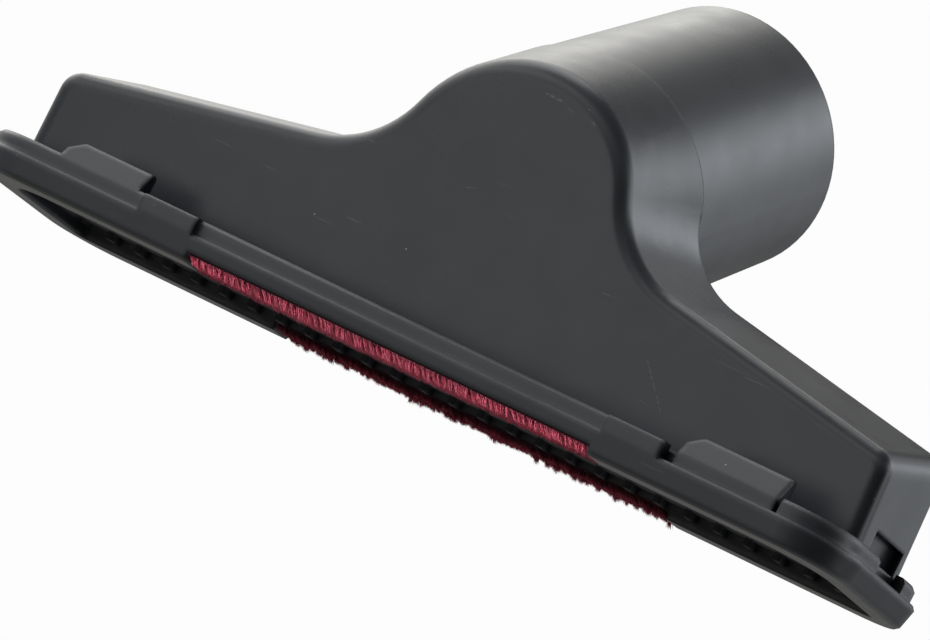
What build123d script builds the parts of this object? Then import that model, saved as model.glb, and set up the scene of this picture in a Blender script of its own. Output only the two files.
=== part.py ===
from build123d import *

import os
from math import atan2, cos, pi, radians, sin, sqrt, tan

# Vacuum upholstery nozzle: a hollow moulded housing, the sole frame that clips on below it, and
# two lint strips of velour pile. X runs along the mouth, +Y points to the back, where the hose
# socket leaves at a slant, and +Z is up. The nozzle stands on the rails of its sole at Z = 0.
# While it is built, Y = 0 is the middle of the sole.

# Sole frame, plan
SOLE_LENGTH = 147.6
SOLE_DEPTH = 44.4
SOLE_CORNER_R = 10.0
FOOT_TAPER = 0.9         # the lower wall flares out by this much from foot to seam
FOOT_BEVEL = 0.5
RAIL_W = 5.9             # front and rear rail, at the foot
END_RAIL_W = 4.4
MOUTH_FRONT_R = 9.0      # corners of the mouth
MOUTH_REAR_R = 2.0

# Sole frame, levels above the foot
SEAM_Z = 3.9             # top of the thick lower wall, and of the deck the housing sits on
DECK_T = 1.6
RIM_Z = 6.3              # top of the thin upper rim
RIM_STEP = 1.2           # how far the rim stands back from the lower wall
RIM_T = 1.7
RIM_BEVEL = 0.6
SEAM_BEVEL = 0.5         # bevelled upper edge of the lower wall
PAD_W = 9.2              # the rim is flush with the lower wall over a pad beside each hook
PAD_GAP = 1.9            # between pad and hook
PAD_ROUND = 0.6
END_NOTCH_FRONT = -3.8   # the gap in the rim at each end of the sole, along Y
END_NOTCH_BACK = 8.4

# Snap hooks of the frame: two at the front and two at the back
HOOK_START = 28.3        # from the sole's end to the inner end of a hook
LEFT_HOOK_STOP = 14.8    # and to its outer end, left
RIGHT_HOOK_STOP = 12.2   # and right
HOOK_SLIT = 0.7          # beside the outer end of a right hook
HOOK_Z = 9.3
HOOK_UPRIGHT = 1.7       # height of the upright part of its outer face above the seam
HOOK_LEAN = 2.5
HOOK_TOP_T = 1.5
HOOK_ROUND = 0.7
HOOK_CORNER_X = 1.9      # bevelled upper corner at the left end of each hook
HOOK_CORNER_Z = 1.7
SIT_GAP = 0.05           # between hook nose and flange

# Stop teeth inside the mouth, which keep cloth out of the opening
TOOTH_PITCH = 5.0
TOOTH_T = 1.1
TOOTH_DEPTH = 3.0
TOOTH_SET_BACK = 1.2
TOOTH_FREE = 5.9         # from the mouth's end to the first tooth, at least

# Lint strips: velour tape in a pocket across each rail
STRIP_SHORT = 0.6        # the pocket ends this far before the pad
POCKET_H = 1.4           # depth of the pocket above the foot
STRIP_END_GAP = 0.2
STRIP_SET_BACK = 0.25    # the pile's tips stay this far above the foot
STRIP_INSET = 0.4        # the pile stops short of the wall face
STRIP_ROUND = 0.45

# Housing flange, clipped under the hooks
FLANGE_T = 1.8
FLANGE_GAP = 0.2

# Housing body: two leaning planes, front and back, with a hat-shaped outline on each
WALL = 2.2
FACE_ROUND = 2.2         # rounding of the body's front edge, made of narrow flats
FACE_FLATS = 6
BACK_BEVEL = 1.0
PLANE_Z = 7.1            # level at which the ledges are measured, and from which outlines rise
FRONT_LEDGE = 9.5        # flange in front of the body
BACK_LEDGE = 7.2
END_LEDGE = 0.4
FRONT_LEAN = 7.0         # degrees, towards the front at the top
BACK_LEAN = 5.0
END_DRAFT = 0.4          # how much shorter the body is at its shoulders
SHOULDER_R = 3.2
WING_SLOPE = 10.0        # degrees
# the outline on each plane: end wall's height, dome's centre, dome's radius, valley's radius
FRONT_HAT = (11.4, 21.4, 18.9, 16.5)
BACK_HAT = (16.3, 30.8, 20.4, 14.2)

# Recess at the foot of each end wall
END_STEP_DEPTH = 1.6
END_STEP_FRONT = -4.3
END_STEP_BACK = 9.0
END_STEP_Z = 9.3

# Hose socket
SOCKET_BORE_R = 17.5
SOCKET_WALL = 2.0
SOCKET_DEPTH = 34.0
THROAT_R = 16.4
SOCKET_TILT = 28.0       # degrees above the sole
CREASE_Y = 10.5          # where the dome gives way to the tube, on its axis
CREASE_Z = 37.0
TUBE_LENGTH = 42.5       # from there to the mouth
TUBE_DRAFT = 1.0         # degrees, the tube is thinner at its mouth
TUBE_ROOT = 13.5         # how far the tube and its throat run back from the crease
LEAD_IN = 0.6            # bevel at the tube's mouth, inside and outside

# Worked-out sizes
HALF_LENGTH = SOLE_LENGTH / 2
HALF_DEPTH = SOLE_DEPTH / 2
HOOK_IN = HALF_LENGTH - HOOK_START
LEFT_HOOK_OUT = HALF_LENGTH - LEFT_HOOK_STOP
RIGHT_HOOK_OUT = HALF_LENGTH - RIGHT_HOOK_STOP
PAD_END = HOOK_IN - PAD_GAP
PAD_START = PAD_END - PAD_W
STRIP_HALF = PAD_START - STRIP_SHORT
POCKET_INSET = RIM_STEP + RIM_T
FLANGE_INSET = POCKET_INSET + FLANGE_GAP
FLANGE_TOP_Z = SEAM_Z + FLANGE_T
MOUTH_HALF_X = HALF_LENGTH - FOOT_TAPER - END_RAIL_W
MOUTH_HALF_Y = HALF_DEPTH - FOOT_TAPER - RAIL_W
TOOTH_SPAN = 2 * (MOUTH_HALF_X - TOOTH_FREE)
FRONT_Y = FLANGE_INSET + FRONT_LEDGE - HALF_DEPTH
BACK_Y = HALF_DEPTH - FLANGE_INSET - BACK_LEDGE
BODY_HALF = HALF_LENGTH - FLANGE_INSET - END_LEDGE
FAR = SOLE_LENGTH        # reach of the cutting blocks


def sole_plan(inset, z_low, z_high):
    """An upright block with the plan of the sole, set in on every side."""
    outline = RectangleRounded(SOLE_LENGTH - 2 * inset, SOLE_DEPTH - 2 * inset, SOLE_CORNER_R - inset)
    return extrude(Plane.XY.offset(z_low) * outline, z_high - z_low)


def block(x, y, z):
    """A box between two places along each axis."""
    size = Box(x[1] - x[0], y[1] - y[0], z[1] - z[0])
    return Pos((x[0] + x[1]) / 2, (y[0] + y[1]) / 2, (z[0] + z[1]) / 2) * size


def front_and_back(piece):
    """The piece and its mirror image on the other long side."""
    return piece + mirror(piece, Plane.XZ)


def both_ends(piece):
    """The piece and its mirror image at the other end."""
    return piece + mirror(piece, Plane.YZ)


def leaning_plane(y, lean):
    """A plane that leans to the front at its top. Its local y runs up, its normal to the front."""
    tilt = radians(lean)
    return Plane((0, y, PLANE_Z), x_dir=(1, 0, 0), z_dir=(0, -cos(tilt), -sin(tilt)))


def hat_outline(end_height, dome_height, dome_r, valley_r, side_inset=0.0, end_inset=0.0):
    """The body's outline: end walls, sloping wings, valleys and a dome, all tangent above.

    Local x runs along the mouth and local y up the plane. The insets move the outline inwards.
    """
    slope = radians(WING_SLOPE)
    up_wing = (-cos(slope), sin(slope))
    off_wing = (sin(slope), cos(slope))
    # the valley's centre is one radius off the wing and one off the dome
    start = (BODY_HALF - END_DRAFT + valley_r * off_wing[0], end_height + valley_r * off_wing[1])
    rise = start[1] - dome_height
    half_b = start[0] * up_wing[0] + rise * up_wing[1]
    reach = dome_r + valley_r
    travel = -half_b - sqrt(half_b**2 - start[0]**2 - rise**2 + reach**2)
    valley = (start[0] + travel * up_wing[0], start[1] + travel * up_wing[1])
    # the same centres serve the inset outline
    dome_r -= side_inset
    valley_r += side_inset
    to_valley = atan2(valley[1] - dome_height, valley[0])
    dome_end = (dome_r * cos(to_valley), dome_height + dome_r * sin(to_valley))
    wing_end = (valley[0] - valley_r * off_wing[0], valley[1] - valley_r * off_wing[1])
    turn = ((to_valley - pi) + (-pi / 2 - slope)) / 2
    valley_mid = (valley[0] + valley_r * cos(turn), valley[1] + valley_r * sin(turn))
    end_x = BODY_HALF - end_inset
    shoulder_x = end_x - END_DRAFT
    shoulder = (shoulder_x, wing_end[1] - (shoulder_x - wing_end[0]) * tan(slope))
    foot = (end_x + END_DRAFT * PLANE_Z / shoulder[1], -PLANE_Z)

    side = [
        Line(foot, shoulder),
        Line(shoulder, wing_end),
        ThreePointArc(wing_end, valley_mid, dome_end),
    ]
    dome = ThreePointArc(dome_end, (0, dome_height + dome_r), (-dome_end[0], dome_end[1]))
    base = Line(foot, (-foot[0], foot[1]))
    face = make_face(side + [mirror(edge, Plane.YZ) for edge in side] + [dome, base])
    corners = [v for v in face.vertices() if abs(v.Y - shoulder[1]) < 0.01]
    return fillet(corners, SHOULDER_R - side_inset)


def outer_body():
    """The body from outside, with its front edge rounded off through a fan of outlines."""
    outlines = []
    for i in range(FACE_FLATS + 1):
        turn = radians(90 * i / FACE_FLATS)
        depth = FACE_ROUND * (1 - cos(turn))
        inset = FACE_ROUND * (1 - sin(turn))
        share = depth / (BACK_Y - FRONT_Y)
        sizes = [front + share * (back - front) for front, back in zip(FRONT_HAT, BACK_HAT)]
        plane = leaning_plane(FRONT_Y + depth, FRONT_LEAN)
        outlines.append(plane * hat_outline(*sizes, inset, inset))
    back_outline = leaning_plane(BACK_Y, BACK_LEAN) * hat_outline(*BACK_HAT)
    return loft(outlines, ruled=True) + loft([outlines[-1], back_outline], ruled=True)


def inner_body():
    """The hollow inside it, set in by the wall and clear of the recesses at its ends."""
    insets = (WALL, WALL + END_STEP_DEPTH)
    front = leaning_plane(FRONT_Y, FRONT_LEAN).offset(-WALL) * hat_outline(*FRONT_HAT, *insets)
    back = leaning_plane(BACK_Y, BACK_LEAN).offset(WALL) * hat_outline(*BACK_HAT, *insets)
    return loft([front, back], ruled=True)


def socket_rod(radius, low, high, draft=0.0):
    """A round rod on the socket's axis, between two places counted from the crease.

    The radius is the one at the high end. A draft in degrees widens the rod towards the low end.
    """
    axis = Plane((0, CREASE_Y, CREASE_Z), x_dir=(1, 0, 0),
                 z_dir=(0, cos(radians(SOCKET_TILT)), sin(radians(SOCKET_TILT))))
    low_radius = radius + (high - low) * tan(radians(draft))
    return extrude(axis.offset(low) * Circle(low_radius), high - low, taper=draft)


def make_housing():
    """One moulding: flange, hollow body with its dome, and the slanting hose socket."""
    body = outer_body()
    back = body.faces().sort_by(Axis.Y)[-1]
    body = chamfer([e for e in back.edges() if e.center().Z > PLANE_Z], BACK_BEVEL)
    # the dome ends square to the socket, where its surface gives way to the tube
    body -= socket_rod(FAR, 0, FAR)
    body &= block((-FAR, FAR), (-FAR, FAR), (SEAM_Z, FAR))
    step = block((BODY_HALF - END_STEP_DEPTH, FAR), (END_STEP_FRONT, END_STEP_BACK),
                 (FLANGE_TOP_Z, END_STEP_Z))
    body -= both_ends(step)

    flange = sole_plan(FLANGE_INSET, SEAM_Z, FLANGE_TOP_Z)
    notch = block((BODY_HALF - END_STEP_DEPTH, FAR), (END_NOTCH_FRONT, END_NOTCH_BACK), (0, FAR))
    flange -= both_ends(notch)

    outer_r = SOCKET_BORE_R + SOCKET_WALL
    tube = socket_rod(outer_r, -TUBE_ROOT, TUBE_LENGTH - LEAD_IN, TUBE_DRAFT)
    tube += socket_rod(outer_r - LEAD_IN, TUBE_LENGTH - LEAD_IN, TUBE_LENGTH, 45)
    # above the crossing of the crease and the back plane, the tube starts at the crease, and
    # below it at the back plane
    in_front = extrude(leaning_plane(BACK_Y, BACK_LEAN) * Rectangle(FAR, FAR), FAR)
    tube -= in_front - socket_rod(FAR, 0, FAR)
    housing = body + flange + tube
    housing -= inner_body()
    housing -= socket_rod(THROAT_R, -TUBE_ROOT, TUBE_LENGTH)
    housing -= socket_rod(SOCKET_BORE_R, TUBE_LENGTH - SOCKET_DEPTH, TUBE_LENGTH)
    return housing - socket_rod(SOCKET_BORE_R + LEAD_IN, TUBE_LENGTH - LEAD_IN, TUBE_LENGTH, -45)


def make_hook(x_low, x_high):
    """A snap hook on the front: it leans in over the flange, and one upper corner is bevelled."""
    outer = RIM_STEP - HALF_DEPTH
    inner = POCKET_INSET - HALF_DEPTH
    lean = outer + HOOK_LEAN
    profile = make_face(Polyline(
        (outer, SEAM_Z), (outer, SEAM_Z + HOOK_UPRIGHT), (lean, HOOK_Z), (lean + HOOK_TOP_T, HOOK_Z),
        (lean + HOOK_TOP_T, FLANGE_TOP_Z + SIT_GAP), (inner, FLANGE_TOP_Z + SIT_GAP),
        (inner, SEAM_Z), close=True))
    hook = extrude(Plane.YZ.offset(x_low) * profile, x_high - x_low)
    hook = fillet(hook.edges().filter_by(Axis.X).group_by(Axis.Z)[-1], HOOK_ROUND)
    bevel = make_face(Polyline(
        (x_low, HOOK_Z), (x_low + HOOK_CORNER_X, HOOK_Z), (x_low, HOOK_Z - HOOK_CORNER_Z), close=True))
    return hook - extrude(Plane.XZ * bevel, FAR, both=True)


def make_pad():
    """A pad on the front, where the rim is flush with the lower wall and hides its bevel."""
    inner = POCKET_INSET - HALF_DEPTH
    follow = FOOT_TAPER * SEAM_BEVEL / SEAM_Z
    profile = make_face(Polyline(
        (-HALF_DEPTH, SEAM_Z), (-HALF_DEPTH, RIM_Z), (inner, RIM_Z), (inner, SEAM_Z - SEAM_BEVEL),
        (follow - HALF_DEPTH, SEAM_Z - SEAM_BEVEL), close=True))
    pad = extrude(Plane.YZ.offset(PAD_START) * profile, PAD_W)
    return fillet(pad.edges().filter_by(Axis.X).group_by(Axis.Z)[-1], PAD_ROUND)


def make_sole_frame():
    """One moulding: rails, deck, rim, snap hooks and stop teeth."""
    foot = RectangleRounded(2 * (HALF_LENGTH - FOOT_TAPER), 2 * (HALF_DEPTH - FOOT_TAPER),
                            SOLE_CORNER_R - FOOT_TAPER)
    seam = RectangleRounded(SOLE_LENGTH, SOLE_DEPTH, SOLE_CORNER_R)
    wall = loft([foot, Plane.XY.offset(SEAM_Z) * seam], ruled=True)
    wall = chamfer(wall.edges().group_by(Axis.Z)[0], FOOT_BEVEL)
    wall = chamfer(wall.edges().group_by(Axis.Z)[-1], SEAM_BEVEL)
    mouth = Rectangle(2 * MOUTH_HALF_X, 2 * MOUTH_HALF_Y)
    mouth = fillet(mouth.vertices().group_by(Axis.Y)[0], MOUTH_FRONT_R)
    mouth = fillet(mouth.vertices().group_by(Axis.Y)[-1], MOUTH_REAR_R)
    wall -= extrude(mouth, SEAM_Z - DECK_T)
    # the opening in the deck lines up with the inside of the housing
    wall -= block((WALL + END_STEP_DEPTH - BODY_HALF, BODY_HALF - WALL - END_STEP_DEPTH),
                  (FRONT_Y + WALL, BACK_Y - WALL), (0, FAR))

    rim = sole_plan(RIM_STEP, SEAM_Z, RIM_Z)
    rim = chamfer(rim.edges().group_by(Axis.Z)[-1], RIM_BEVEL)
    rim -= sole_plan(POCKET_INSET, SEAM_Z, RIM_Z)
    rim -= block((-FAR, FAR), (END_NOTCH_FRONT, END_NOTCH_BACK), (0, FAR))
    # the rim is open where the hooks stand, with a slit on both sides of each right one
    gaps = block((-LEFT_HOOK_OUT, -HOOK_IN), (-FAR, 0), (SEAM_Z, FAR))
    gaps += block((PAD_END, RIGHT_HOOK_OUT + HOOK_SLIT), (-FAR, 0), (SEAM_Z, FAR))
    rim -= front_and_back(gaps)
    hooks = make_hook(-LEFT_HOOK_OUT, -HOOK_IN) + make_hook(HOOK_IN, RIGHT_HOOK_OUT)
    rim += front_and_back(both_ends(make_pad()) + hooks)

    teeth = Part()
    count = int(TOOTH_SPAN / TOOTH_PITCH)
    for i in range(count + 1):
        x = (i - count / 2) * TOOTH_PITCH
        teeth += block((x - TOOTH_T / 2, x + TOOTH_T / 2), (-MOUTH_HALF_Y, TOOTH_DEPTH - MOUTH_HALF_Y),
                       (TOOTH_SET_BACK, SEAM_Z - DECK_T))
    frame = wall + rim + front_and_back(teeth)
    pocket = block((-STRIP_HALF, STRIP_HALF), (-HALF_DEPTH, -MOUTH_HALF_Y), (0, POCKET_H))
    return frame - front_and_back(pocket)


def make_strip():
    """The front lint strip: a flat bar of pile with softened edges below."""
    half = STRIP_HALF - STRIP_END_GAP
    strip = block((-half, half), (FOOT_TAPER + STRIP_INSET - HALF_DEPTH, -MOUTH_HALF_Y),
                  (STRIP_SET_BACK, POCKET_H))
    return fillet(strip.edges().group_by(Axis.Z)[0], STRIP_ROUND)


front_strip = make_strip()
parts = {
    "housing": make_housing(),
    "sole_frame": make_sole_frame(),
    "front_lint_strip": front_strip,
    "rear_lint_strip": mirror(front_strip, Plane.XZ),
}
# the finished nozzle's origin is under the middle of its overall depth
boxes = [part.bounding_box() for part in parts.values()]
middle = (min(box.min.Y for box in boxes) + max(box.max.Y for box in boxes)) / 2
parts = {name: Pos(0, -middle, 0) * part for name, part in parts.items()}

os.makedirs("parts", exist_ok=True)
for name, part in parts.items():
    export_step(part, f"parts/{name}.step")
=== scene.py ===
import math
import random

import bpy
from mathutils import Euler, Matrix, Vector


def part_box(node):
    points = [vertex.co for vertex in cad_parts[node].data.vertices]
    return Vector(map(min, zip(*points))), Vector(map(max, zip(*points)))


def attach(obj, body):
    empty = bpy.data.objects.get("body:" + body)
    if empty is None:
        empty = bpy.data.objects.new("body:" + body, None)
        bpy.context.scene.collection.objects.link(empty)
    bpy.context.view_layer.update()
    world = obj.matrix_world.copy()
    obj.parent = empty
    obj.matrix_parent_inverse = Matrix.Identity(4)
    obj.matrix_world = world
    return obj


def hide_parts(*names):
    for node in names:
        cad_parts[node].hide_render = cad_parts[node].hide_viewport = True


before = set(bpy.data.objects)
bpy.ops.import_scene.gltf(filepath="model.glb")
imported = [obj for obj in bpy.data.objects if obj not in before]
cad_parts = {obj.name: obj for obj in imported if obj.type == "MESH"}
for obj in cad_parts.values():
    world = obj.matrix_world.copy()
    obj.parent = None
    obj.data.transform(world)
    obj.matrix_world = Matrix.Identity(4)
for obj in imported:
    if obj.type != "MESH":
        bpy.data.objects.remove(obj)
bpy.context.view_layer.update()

# A vacuum upholstery nozzle in black moulded plastic. The housing and the sole frame keep their
# own solids and get a satin plastic with light wear. The two lint strips are grown here, fibre
# by fibre, as velour pile on its tape.

MM = 0.001

# Camera, from the straight edges, the rim circle and the symmetry seen in the photograph
CAMERA_PLACE = (0.45388, -1.04241, -0.0930)
CAMERA_TURN = (96.0218, -27.6791, 21.1204)      # degrees about X, Y and Z
CAMERA_LENS = 309.785                           # millimetres, on the sensor below
CAMERA_SENSOR = 36.0

# Colours, linear
HOUSING_COLOUR = (0.0135, 0.0148, 0.0172)
FRAME_COLOUR = (0.0140, 0.0150, 0.0172)
WORN_COLOUR = (0.16, 0.165, 0.175)
DUST_COLOUR = (0.42, 0.43, 0.45)
PILE_COLOUR = (0.98, 0.195, 0.300)
PILE_DARK = (0.55, 0.035, 0.075)
# the tape is painted near black, as shade under the pocket's roof
TAPE_SHADE_COLOUR = (0.030, 0.008, 0.012)
FLOOR_COLOUR = (0.48, 0.48, 0.485)

# Plastic. Each noise has a scale, a detail and a roughness
MOTTLE = (38.0, 3.0, 0.55)
BLOTCH = (170.0, 2.0, 0.6)
GRAIN = (2600.0, 2.0, 0.6)
RAGGED = (1400.0, 3.0, 0.7)
RAGGED_EDGE = (0.42, 0.58)                      # where in it a scuff begins and is full
MOTTLE_SHADE = (0.7, 0.65)                      # share of the mottle in the colour, and the rest
MOTTLE_ROUGHNESS = 0.16
BLOTCH_ROUGHNESS = 0.13
MARK_ROUGHNESS = 0.2
MARK_COVER = 0.35                               # how much of the colour a mark or a speck hides
SPECK_COVER = 0.5
MOTTLE_HEIGHT = 0.25                            # against the grain's height
GRAIN_DEPTH = 0.05 * MM
HOUSING_FINISH = (0.29, 0.08, 0.8 * MM)         # roughness, grain strength, softness of the edges
FRAME_FINISH = (0.38, 0.12, 1.1 * MM)

# Hair scratches: the turn of each set, its noise's scale along and across the hairs, and the
# scale of the patches that hold them
HAIRS = (
    (0.5, (90.0, 3600.0, 3600.0), 58.0),
    (-0.9, (70.0, 4200.0, 4200.0), 30.0),
    (1.3, (110.0, 3900.0, 3900.0), 74.0))
HAIR_TILT = 0.3                                 # turn about Y as a share of the turn about X
HAIR_EDGE = (0.80, 0.86)                        # where in its noise a hair begins and is full
HAIR_PATCH = (3.0, 0.6)                         # detail and roughness
HAIR_PATCH_EDGE = (0.56, 0.68)
# Specks: cells per metre, and the radius of the speck in its cell
SPECKS = ((210.0, 0.030), (330.0, 0.040), (700.0, 0.055))
SPECK_CORE = 0.4                                # share of the radius where a speck is full
RARE_SPECK = (0.945, 0.955)                     # the cells that have one

SCUFF_CORE = 0.3                                # share of the half width where a scuff is full
# Scuffs on the front face, in millimetres: start, end, half width, strength
SCUFFS = (
    ((0.2, -31.4, 43.8), (2.7, -31.4, 43.7), 0.22, 0.7),
    ((3.7, -31.4, 43.3), (5.3, -31.3, 42.9), 0.18, 0.6),
    ((7.9, -31.4, 43.0), (9.5, -31.3, 42.4), 0.20, 0.6),
    ((7.2, -31.8, 46.3), (8.8, -31.7, 45.8), 0.16, 0.5),
    ((30.9, -28.1, 16.5), (36.3, -27.4, 10.5), 0.14, 0.45),
    ((-4.9, -29.4, 27.3), (-3.4, -29.5, 27.8), 0.10, 0.5),
    ((20.6, -28.8, 22.1), (23.0, -28.8, 22.3), 0.12, 0.55),
    ((32.5, -27.4, 11.0), (34.7, -27.4, 10.7), 0.10, 0.4),
    ((68.8, -26.9, 12.4), (69.8, -26.5, 12.7), 0.30, 1.6),
)

# The sole's mouth is rougher inside than the rest of the sole, and its colour is darkened there
# as painted shade
MOUTH_FROM_EDGE = (6.0 * MM, 6.8 * MM)          # in from the sole's box, along X and Y
MOUTH_HEIGHTS = (0.9 * MM, 3.0 * MM)            # above the foot
MOUTH_BLUR = 0.4 * MM
MOUTH_PAINTED_SHADE = 0.8
MOUTH_ROUGHNESS = 0.35

# Pile
SEED = 11
TUFT_STEP_X = 0.95 * MM
TUFT_ROWS = 7
TUFT_MARGIN = 0.35 * MM                         # from the strip's edge to the outer tufts
TUFT_ROOT = 0.26 * MM                           # spread of a tuft's fibres at the tape
TUFT_TIP = 0.25 * MM                            # and at their tips
TUFT_LEAN = 0.70 * MM                           # how far a tuft leans along the strip
TUFT_SCATTER = (0.08, 0.06)                     # of its place, in millimetres along X and Y
LEAN_SPREAD = (0.7, 1.3)                        # the spreads are factors between two limits
SPLAY_SPREAD = (0.5, 1.2)
BRUSHED_REACH_SPREAD = (0.7, 1.1)
BRUSHED_SPLAY_SPREAD = (0.4, 1.0)
TUFT_LIGHT = (0.88, 0.12)                       # lightness and its scatter
TUFT_LIGHT_LIMITS = (0.35, 1.0)
FIBRES_PER_TUFT = 40
FIBRE_WIDTH = 0.11 * MM
FIBRE_WIDTH_SPREAD = (0.7, 1.2)
FIBRE_SHADE = (0.6, 1.0)
TIP_SCATTER = 0.2                               # how much shorter a fibre is, in millimetres
BEND_LIGHT = 0.35                               # of the way from the root's light to the tip's
FIBRE_MARGIN = 0.05 * MM
TAPE_T = 0.25 * MM
# reach of the tips below the foot, its scatter, how far they splay towards the mouth, and how
# bright the fibres are at the root, as painted shade; the rear strip, deep in the mouth's shade,
# is painted darkest at the root
FRONT_PILE = (0.10 * MM, 0.10 * MM, 0.4 * MM, 0.90)
REAR_PILE = (-0.15 * MM, 0.36 * MM, 0.1 * MM, 0.10)
# where the front pile has been brushed out of its pocket: middle, half width, more reach and
# more splay
BRUSHED = (-6.0 * MM, 22.0 * MM, 0.20 * MM, 0.9 * MM)

# Surroundings: a pale band above the horizon, dark below it and overhead, and dim where the
# photographer stands. A pair of values is the start and the end of a soft edge, along the
# direction's X, Y or Z
BACKDROP = 0.98
SURROUNDINGS = (                                # degrees above the horizon, brightness
    (-30.0, 0.45), (-10.0, 0.24), (-2.0, 0.26), (4.0, 0.65), (18.0, 1.20), (34.0, 2.80),
    (44.0, 2.05), (50.0, 0.60), (56.0, 0.25), (90.0, 0.15))
LEFT_TINT = (1.01, 1.0, 0.955)
RIGHT_TINT = (0.94, 0.985, 1.04)
TINT_EDGE = (-0.35, 0.20)
FRONT_SHARE = 0.45                              # brightness of the front against the back
FRONT_EDGE = (-0.35, 0.35)
DIM_SIDE = (0.70, -0.71, 0.0)
DIM_SHARE = 0.15                                # what is left of the light on that side
DIM_EDGE = (0.35, 0.85)                         # along DIM_SIDE
# dimmer places in the band, behind the right wing and behind the neck: the left, right, lower
# and upper edge, and what is left of the light there
GAPS_IN_BAND = (
    ((-0.46, -0.37), (-0.12, 0.00), (-0.04, 0.05), (0.54, 0.64), 0.05),
    ((-0.30, -0.18), (0.16, 0.30), (0.15, 0.25), (0.66, 0.78), 0.25))
GAP_FRONT_EDGE = (0.0, 0.3)

# Lamps: name, place, target, width, height, watts, and whether the plastic reflects it
LAMPS = (
    ("key", (-1.50, -1.18, 0.74), (0, -0.02, 0.02), 1.6, 1.4, 104.0, False),
    ("overhead", (-0.42, 0.07, 0.95), (0, -0.02, 0.03), 0.75, 0.60, 3.4, True),
    ("right", (0.95, 0.22, 0.10), (0, 0, 0.03), 0.35, 0.5, 1.0, True),
    ("front_reflector", (-0.16, -0.49, -0.03), (0, -0.02, 0.02), 0.34, 0.30, 0.26, True),
)

# Floor
FLOOR_HALF = 4.0
FLOOR_DROP = 0.02 * MM                          # below the foot
FLOOR_FADE = (0.20, 0.65)                       # metres from the middle, into the backdrop


class Nodes:
    """A short hand for building one node tree."""

    def __init__(self, tree):
        self.tree = tree
        tree.nodes.clear()

    def add(self, kind, inputs=(), out=0, **settings):
        node = self.tree.nodes.new(kind)
        for name, value in settings.items():
            setattr(node, name, value)
        for key, value in dict(inputs).items():
            if isinstance(value, bpy.types.NodeSocket):
                self.tree.links.new(value, node.inputs[key])
            else:
                node.inputs[key].default_value = value
        return node if out is None else node.outputs[out]

    def math(self, operation, a, b=0.0, c=0.0):
        return self.add("ShaderNodeMath", {0: a, 1: b, 2: c}, operation=operation)

    def product(self, first, *others):
        for other in others:
            first = self.math("MULTIPLY", first, other)
        return first

    def highest(self, values):
        first, *others = values
        for other in others:
            first = self.math("MAXIMUM", first, other)
        return first

    def keep(self, mask, share):
        """1 where the mask is 0, and the share where the mask is 1."""
        return self.math("MULTIPLY_ADD", mask, share - 1.0, 1.0)

    def vector(self, operation, a, b=(0, 0, 0)):
        out = "Value" if operation in ("LENGTH", "DISTANCE", "DOT_PRODUCT") else 0
        return self.add("ShaderNodeVectorMath", {0: a, 1: b}, out=out, operation=operation)

    def scaled(self, vector, scale):
        return self.add("ShaderNodeVectorMath", {0: vector, "Scale": scale}, operation="SCALE")

    def step(self, value, low, high):
        """0 below low, 1 above high, smooth between. Low may be the larger one."""
        return self.add("ShaderNodeMapRange", {"Value": value, "From Min": low, "From Max": high},
                        interpolation_type="SMOOTHSTEP")

    def mix(self, factor, a, b):
        return self.add("ShaderNodeMix", {0: factor, 6: a, 7: b}, out=2, data_type="RGBA")

    def noise(self, place, scale, detail, roughness=0.5):
        return self.add("ShaderNodeTexNoise", {"Vector": place, "Scale": scale, "Detail": detail,
                                               "Roughness": roughness})


def rgba(colour):
    return (*colour, 1.0)


def new_material(name):
    material = bpy.data.materials.new(name)
    material.use_nodes = True
    return material, Nodes(material.node_tree)


def link(name, data):
    """A new object in the scene."""
    thing = bpy.data.objects.new(name, data)
    bpy.context.scene.collection.objects.link(thing)
    return thing


def hair_scratches(nodes, place):
    """Thin long noise in three directions, kept in a few patches."""
    sets = []
    for turn, stretch, patch_scale in HAIRS:
        turned = nodes.add("ShaderNodeMapping", {
            "Vector": place, "Rotation": (turn, HAIR_TILT * turn, turn), "Scale": stretch})
        line = nodes.step(nodes.noise(turned, 1.0, 0.0), *HAIR_EDGE)
        patch = nodes.step(nodes.noise(place, patch_scale, *HAIR_PATCH), *HAIR_PATCH_EDGE)
        sets.append(nodes.product(line, patch))
    return nodes.highest(sets)


def dust_specks(nodes, place):
    """Small dots at scattered places, of three sizes."""
    dots = []
    for cells_per_metre, radius in SPECKS:
        cells = nodes.add("ShaderNodeTexVoronoi", {
            "Vector": place, "Scale": cells_per_metre, "Randomness": 1.0}, out=None)
        dot = nodes.step(cells.outputs["Distance"], radius, radius * SPECK_CORE)
        lot = nodes.add("ShaderNodeSeparateColor", {0: cells.outputs["Color"]})
        dots.append(nodes.product(dot, nodes.step(lot, *RARE_SPECK)))
    return nodes.highest(dots)


def scuff(nodes, place, start, end, width, breakup):
    """A mask along the straight line from start to end, broken up by a noise."""
    run = end - start
    offset = nodes.vector("SUBTRACT", place, tuple(start))
    along = nodes.math("DIVIDE", nodes.vector("DOT_PRODUCT", offset, tuple(run)),
                       run.length_squared)
    along = nodes.add("ShaderNodeClamp", {"Value": along})
    gap = nodes.vector("DISTANCE", offset, nodes.scaled(tuple(run), along))
    return nodes.product(nodes.step(gap, width, width * SCUFF_CORE), breakup)


def inside_box(nodes, place, low, high, blur):
    """A soft mask that is 1 inside the box from low to high."""
    split = nodes.add("ShaderNodeSeparateXYZ", {0: place}, out=None)
    sides = []
    for axis in range(3):
        value = split.outputs[axis]
        sides.append(nodes.product(nodes.step(value, low[axis] - blur, low[axis] + blur),
                                   nodes.step(value, high[axis] + blur, high[axis] - blur)))
    return nodes.product(*sides)


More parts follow.
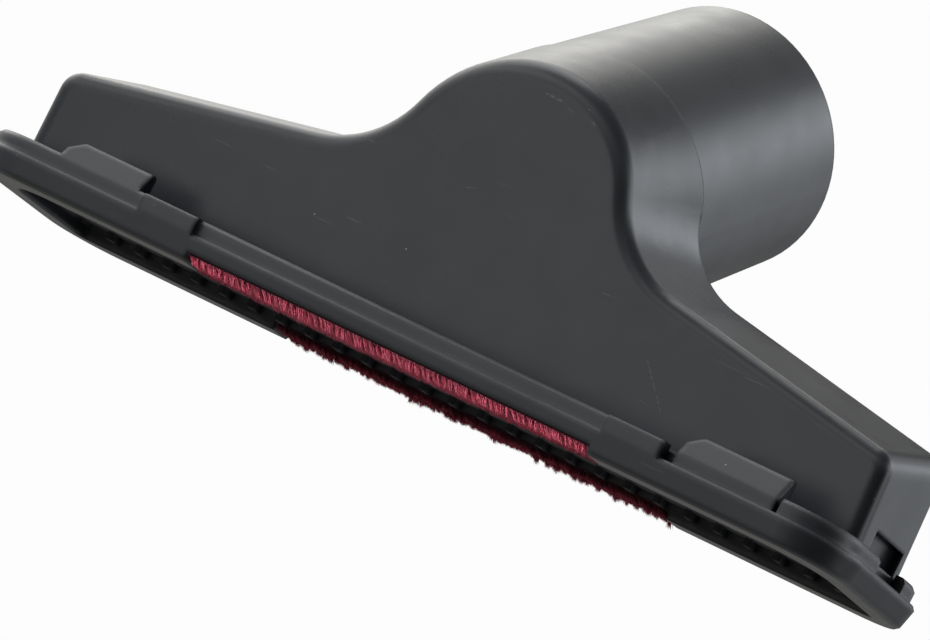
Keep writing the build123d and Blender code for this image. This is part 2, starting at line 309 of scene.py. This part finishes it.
def plastic(name, colour, roughness, grain, edge, scuffs=(), rougher_and_painted_shade=None):
    """Satin moulded plastic: fine grain, faint mottling, hair scratches and specks of dust."""
    material, nodes = new_material(name)
    place = nodes.add("ShaderNodeTexCoord", out="Object")
    mottle = nodes.noise(place, *MOTTLE)
    blotch = nodes.noise(place, *BLOTCH)
    fine = nodes.noise(place, *GRAIN)

    specks = dust_specks(nodes, place)
    marks = [hair_scratches(nodes, place)]
    if scuffs:
        ragged = nodes.step(nodes.noise(place, *RAGGED), *RAGGED_EDGE)
        for start, end, width, strength in scuffs:
            marks.append(scuff(nodes, place, Vector(start) * MM, Vector(end) * MM, width * MM,
                               nodes.product(ragged, strength)))
    marks = nodes.highest(marks)

    shade = nodes.math("MULTIPLY_ADD", mottle, *MOTTLE_SHADE)
    rough = nodes.math("MULTIPLY_ADD", nodes.math("SUBTRACT", mottle, 0.5), MOTTLE_ROUGHNESS,
                       roughness)
    rough = nodes.math("MULTIPLY_ADD", nodes.math("SUBTRACT", blotch, 0.5), BLOTCH_ROUGHNESS,
                       rough)
    rough = nodes.math("MULTIPLY_ADD", marks, MARK_ROUGHNESS, rough)
    # painted shade: inside the mouth's box the colour is darkened, and the plastic is also rougher
    # there
    if rougher_and_painted_shade:
        inside = inside_box(nodes, place, *rougher_and_painted_shade, MOUTH_BLUR)
        shade = nodes.product(shade, nodes.keep(inside, MOUTH_PAINTED_SHADE))
        rough = nodes.math("MULTIPLY_ADD", inside, MOUTH_ROUGHNESS, rough)

    base = nodes.scaled(colour, shade)
    base = nodes.mix(nodes.product(marks, MARK_COVER), base, rgba(WORN_COLOUR))
    base = nodes.mix(nodes.product(specks, SPECK_COVER), base, rgba(DUST_COLOUR))

    edges = nodes.add("ShaderNodeBevel", {"Radius": edge}, samples=6)
    bump = nodes.add("ShaderNodeBump", {
        "Strength": grain, "Distance": GRAIN_DEPTH, "Normal": edges,
        "Height": nodes.math("MULTIPLY_ADD", mottle, MOTTLE_HEIGHT, fine)})
    shader = nodes.add("ShaderNodeBsdfPrincipled", {
        "Base Color": base, "Roughness": rough, "Specular IOR Level": 0.5, "Normal": bump})
    nodes.add("ShaderNodeOutputMaterial", {"Surface": shader}, out=None)
    return material


def velour(name):
    """Pile fibres and their tape. "tone" holds each fibre's lightness, its shade, and the tape.
    The lightness and the shade are painted darker towards the root, as shade.
    """
    material, nodes = new_material(name)
    tone = nodes.add("ShaderNodeAttribute", out="Color", attribute_name="tone")
    lightness, shade, tape = nodes.add("ShaderNodeSeparateColor", {0: tone}, out=None).outputs
    colour = nodes.mix(lightness, rgba(PILE_DARK), rgba(PILE_COLOUR))
    colour = nodes.mix(tape, nodes.scaled(colour, shade), rgba(TAPE_SHADE_COLOUR))
    shader = nodes.add("ShaderNodeBsdfPrincipled", {
        "Base Color": colour, "Roughness": 0.75, "Sheen Weight": 0.25, "Sheen Roughness": 0.45,
        "Specular IOR Level": 0.25})
    nodes.add("ShaderNodeOutputMaterial", {"Surface": shader}, out=None)
    return material


def lint_strip(node, material, reach, scatter, splay, painted_root_light, brushed=None):
    """Velour pile on its tape, in the space of one strip. It hangs down from the pocket's roof.

    Tufts stand in rows and lean along the strip, and each is a bunch of pointed fibres.
    """
    rng = random.Random(SEED + len(node))
    low, high = (Vector(corner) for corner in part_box(node))
    bend_share = BEND_LIGHT + (1.0 - BEND_LIGHT) * painted_root_light
    verts, faces, tones = [], [], []

    def slab(a, b):
        start = len(verts)
        verts.extend((x, y, z) for x in (a.x, b.x) for y in (a.y, b.y) for z in (a.z, b.z))
        for quad in ((0, 1, 3, 2), (4, 6, 7, 5), (0, 4, 5, 1),
                     (2, 3, 7, 6), (0, 2, 6, 4), (1, 5, 7, 3)):
            faces.append([start + i for i in quad])
            tones.append(((0, 0, 1),) * 4)

    def fibre(root, tip, width, light, shade):
        # a three-sided blade with one bend, ending in a point
        bend = root.lerp(tip, 0.5) + Vector((rng.uniform(-1, 1), rng.uniform(-1, 1), 0)) * width
        start = len(verts)
        turn = rng.uniform(0, 2 * math.pi)
        for centre in (root, bend):
            for k in range(3):
                angle = turn + k * 2 * math.pi / 3
                verts.append(centre + Vector((math.cos(angle), math.sin(angle), 0)) * width * 0.5)
        verts.append(tip)
        # painted shade: a fibre is darker at the root than at the tip
        at_root, at_bend, at_tip = (
            (light * share, shade * share, 0) for share in (painted_root_light, bend_share, 1.0))
        for k in range(3):
            n = (k + 1) % 3
            faces.append([start + k, start + n, start + 3 + n, start + 3 + k])
            tones.append((at_root, at_root, at_bend, at_bend))
            faces.append([start + 3 + k, start + 3 + n, start + 6])
            tones.append((at_bend, at_bend, at_tip))

    tape_z = high.z - TAPE_T
    slab(Vector((low.x, low.y, tape_z)), high)
    inward = 1 if node.startswith("front") else -1
    row_step = (high.y - low.y - 2 * TUFT_MARGIN) / (TUFT_ROWS - 1)
    columns = int((high.x - low.x - 2 * TUFT_MARGIN) / TUFT_STEP_X)
    for row in range(TUFT_ROWS):
        for column in range(columns + 1):
            x = low.x + TUFT_MARGIN + (column + 0.5 * (row % 2)) * TUFT_STEP_X
            y = low.y + TUFT_MARGIN + row * row_step
            centre = Vector((x + rng.gauss(0, TUFT_SCATTER[0]) * MM,
                             y + rng.gauss(0, TUFT_SCATTER[1]) * MM, tape_z))
            lean = TUFT_LEAN * rng.uniform(*LEAN_SPREAD)
            depth = reach + abs(rng.gauss(0, 1.0)) * scatter
            push = splay * rng.uniform(*SPLAY_SPREAD)
            if brushed:
                middle, half, more_reach, more_splay = brushed
                out = math.exp(-((x - middle) / half) ** 4)
                depth += out * more_reach * rng.uniform(*BRUSHED_REACH_SPREAD)
                push += out * more_splay * rng.uniform(*BRUSHED_SPLAY_SPREAD)
            end = Vector((centre.x + lean, centre.y + inward * push, -depth))
            dimmest, brightest = TUFT_LIGHT_LIMITS
            light = min(brightest, max(dimmest, rng.gauss(*TUFT_LIGHT)))
            for _ in range(FIBRES_PER_TUFT):
                root = centre + Vector((rng.gauss(0, TUFT_ROOT), rng.gauss(0, TUFT_ROOT), 0))
                tip = end + Vector((rng.gauss(0, TUFT_TIP), rng.gauss(0, TUFT_TIP), 0))
                tip.z += abs(rng.gauss(0, TIP_SCATTER)) * MM
                for point in (root, tip):
                    point.x = min(max(point.x, low.x + FIBRE_MARGIN), high.x - FIBRE_MARGIN)
                root.y = min(max(root.y, low.y + FIBRE_MARGIN), high.y - FIBRE_MARGIN)
                fibre(root, tip, FIBRE_WIDTH * rng.uniform(*FIBRE_WIDTH_SPREAD), light,
                      rng.uniform(*FIBRE_SHADE))

    mesh = bpy.data.meshes.new(node + "_pile")
    mesh.from_pydata([tuple(v) for v in verts], [], faces)
    layer = mesh.color_attributes.new("tone", "FLOAT_COLOR", "CORNER")
    for polygon, corners in zip(mesh.polygons, tones):
        for loop, tone in zip(polygon.loop_indices, corners):
            layer.data[loop].color = (*tone, 1.0)
    mesh.materials.append(material)
    piece = link(node + "_pile", mesh)
    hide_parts(node)
    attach(piece, "root")


def area_light(name, place, target, width, height, watts, reflected):
    data = bpy.data.lights.new(name, "AREA")
    data.shape = "RECTANGLE"
    data.size, data.size_y = width, height
    data.energy = watts
    lamp = link(name, data)
    lamp.location = place
    lamp.visible_camera = False
    lamp.visible_glossy = reflected
    lamp.rotation_euler = (Vector(target) - Vector(place)).to_track_quat("-Z", "Y").to_euler()


def make_world():
    """White to the camera. The object is lit by, and reflects, a band that is dim in front."""
    world = bpy.data.worlds.new("studio")
    bpy.context.scene.world = world
    world.use_nodes = True
    nodes = Nodes(world.node_tree)
    direction = nodes.add("ShaderNodeTexCoord", out="Generated")
    x, y, z = nodes.add("ShaderNodeSeparateXYZ", {0: direction}, out=None).outputs

    band = nodes.add("ShaderNodeValToRGB", {0: nodes.math("MULTIPLY_ADD", z, 0.5, 0.5)}, out=None)
    ramp = band.color_ramp
    brightest = max(brightness for _, brightness in SURROUNDINGS)
    while len(ramp.elements) < len(SURROUNDINGS):
        ramp.elements.new(0.5)
    for element, (elevation, brightness) in zip(ramp.elements, SURROUNDINGS):
        element.position = 0.5 + 0.5 * math.sin(math.radians(elevation))
        element.color = rgba([brightness / brightest] * 3)
    tint = nodes.mix(nodes.step(x, *TINT_EDGE), rgba(LEFT_TINT), rgba(RIGHT_TINT))
    tinted = nodes.vector("MULTIPLY", band.outputs["Color"], tint)

    dim = nodes.step(nodes.vector("DOT_PRODUCT", direction, DIM_SIDE), *DIM_EDGE)
    share = nodes.math("MULTIPLY_ADD", nodes.step(y, *FRONT_EDGE), 1.0 - FRONT_SHARE, FRONT_SHARE)
    share = nodes.product(share, nodes.keep(dim, DIM_SHARE))
    behind = nodes.step(y, *GAP_FRONT_EDGE)
    for left, right, lower, upper, left_over in GAPS_IN_BAND:
        gap = nodes.product(behind, nodes.step(x, *left), nodes.step(x, *reversed(right)),
                            nodes.step(z, *lower), nodes.step(z, *reversed(upper)))
        share = nodes.product(share, nodes.keep(gap, left_over))

    lit = nodes.add("ShaderNodeBackground", {
        "Color": tinted, "Strength": nodes.product(share, brightest)})
    white = nodes.add("ShaderNodeBackground", {"Color": (1, 1, 1, 1), "Strength": BACKDROP})
    seen = nodes.add("ShaderNodeLightPath", out="Is Camera Ray")
    shader = nodes.add("ShaderNodeMixShader", {0: seen, 1: lit, 2: white})
    nodes.add("ShaderNodeOutputWorld", {"Surface": shader}, out=None)


def make_floor():
    """A pale floor that fades into the backdrop.

    It isn't seen from below, because the photograph looks up at the sole.
    """
    mesh = bpy.data.meshes.new("floor")
    half = FLOOR_HALF
    mesh.from_pydata([(-half, -half, 0), (half, -half, 0), (half, half, 0), (-half, half, 0)],
                     [], [(0, 1, 2, 3)])
    floor = link("floor", mesh)
    floor.location.z = -FLOOR_DROP
    material, nodes = new_material("floor")
    seen = nodes.add("ShaderNodeLightPath", out="Is Camera Ray")
    from_below = nodes.add("ShaderNodeNewGeometry", out="Backfacing")
    away = nodes.vector("LENGTH", nodes.add("ShaderNodeTexCoord", out="Object"))
    shown = nodes.product(seen, nodes.math("SUBTRACT", 1.0, from_below),
                          nodes.step(away, *reversed(FLOOR_FADE)))
    pale = nodes.add("ShaderNodeBsdfDiffuse", {"Color": rgba(FLOOR_COLOUR)})
    clear = nodes.add("ShaderNodeBsdfTransparent")
    shader = nodes.add("ShaderNodeMixShader", {0: shown, 1: clear, 2: pale})
    nodes.add("ShaderNodeOutputMaterial", {"Surface": shader}, out=None)
    mesh.materials.append(material)


# Surfaces
sole_low, sole_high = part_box("sole_frame")
in_x, in_y = MOUTH_FROM_EDGE
mouth = ((sole_low[0] + in_x, sole_low[1] + in_y, MOUTH_HEIGHTS[0]),
         (sole_high[0] - in_x, sole_high[1] - in_y, MOUTH_HEIGHTS[1]))
plastics = {
    "housing": plastic("housing_plastic", HOUSING_COLOUR, *HOUSING_FINISH, scuffs=SCUFFS),
    "sole_frame": plastic("sole_plastic", FRAME_COLOUR, *FRAME_FINISH, rougher_and_painted_shade=mouth),
}
for node, material in plastics.items():
    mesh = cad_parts[node].data
    mesh.materials.clear()
    mesh.materials.append(material)

pile = velour("red_velour")
lint_strip("front_lint_strip", pile, *FRONT_PILE, brushed=BRUSHED)
lint_strip("rear_lint_strip", pile, *REAR_PILE)

# Studio
make_world()
make_floor()
for lamp in LAMPS:
    area_light(*lamp)

camera_data = bpy.data.cameras.new("camera")
camera_data.sensor_width = CAMERA_SENSOR
camera_data.lens = CAMERA_LENS
camera = link("camera", camera_data)
camera.location = CAMERA_PLACE
camera.rotation_euler = Euler([math.radians(angle) for angle in CAMERA_TURN], "XYZ")
bpy.context.scene.camera = camera
bpy.context.scene.view_settings.view_transform = "Standard"
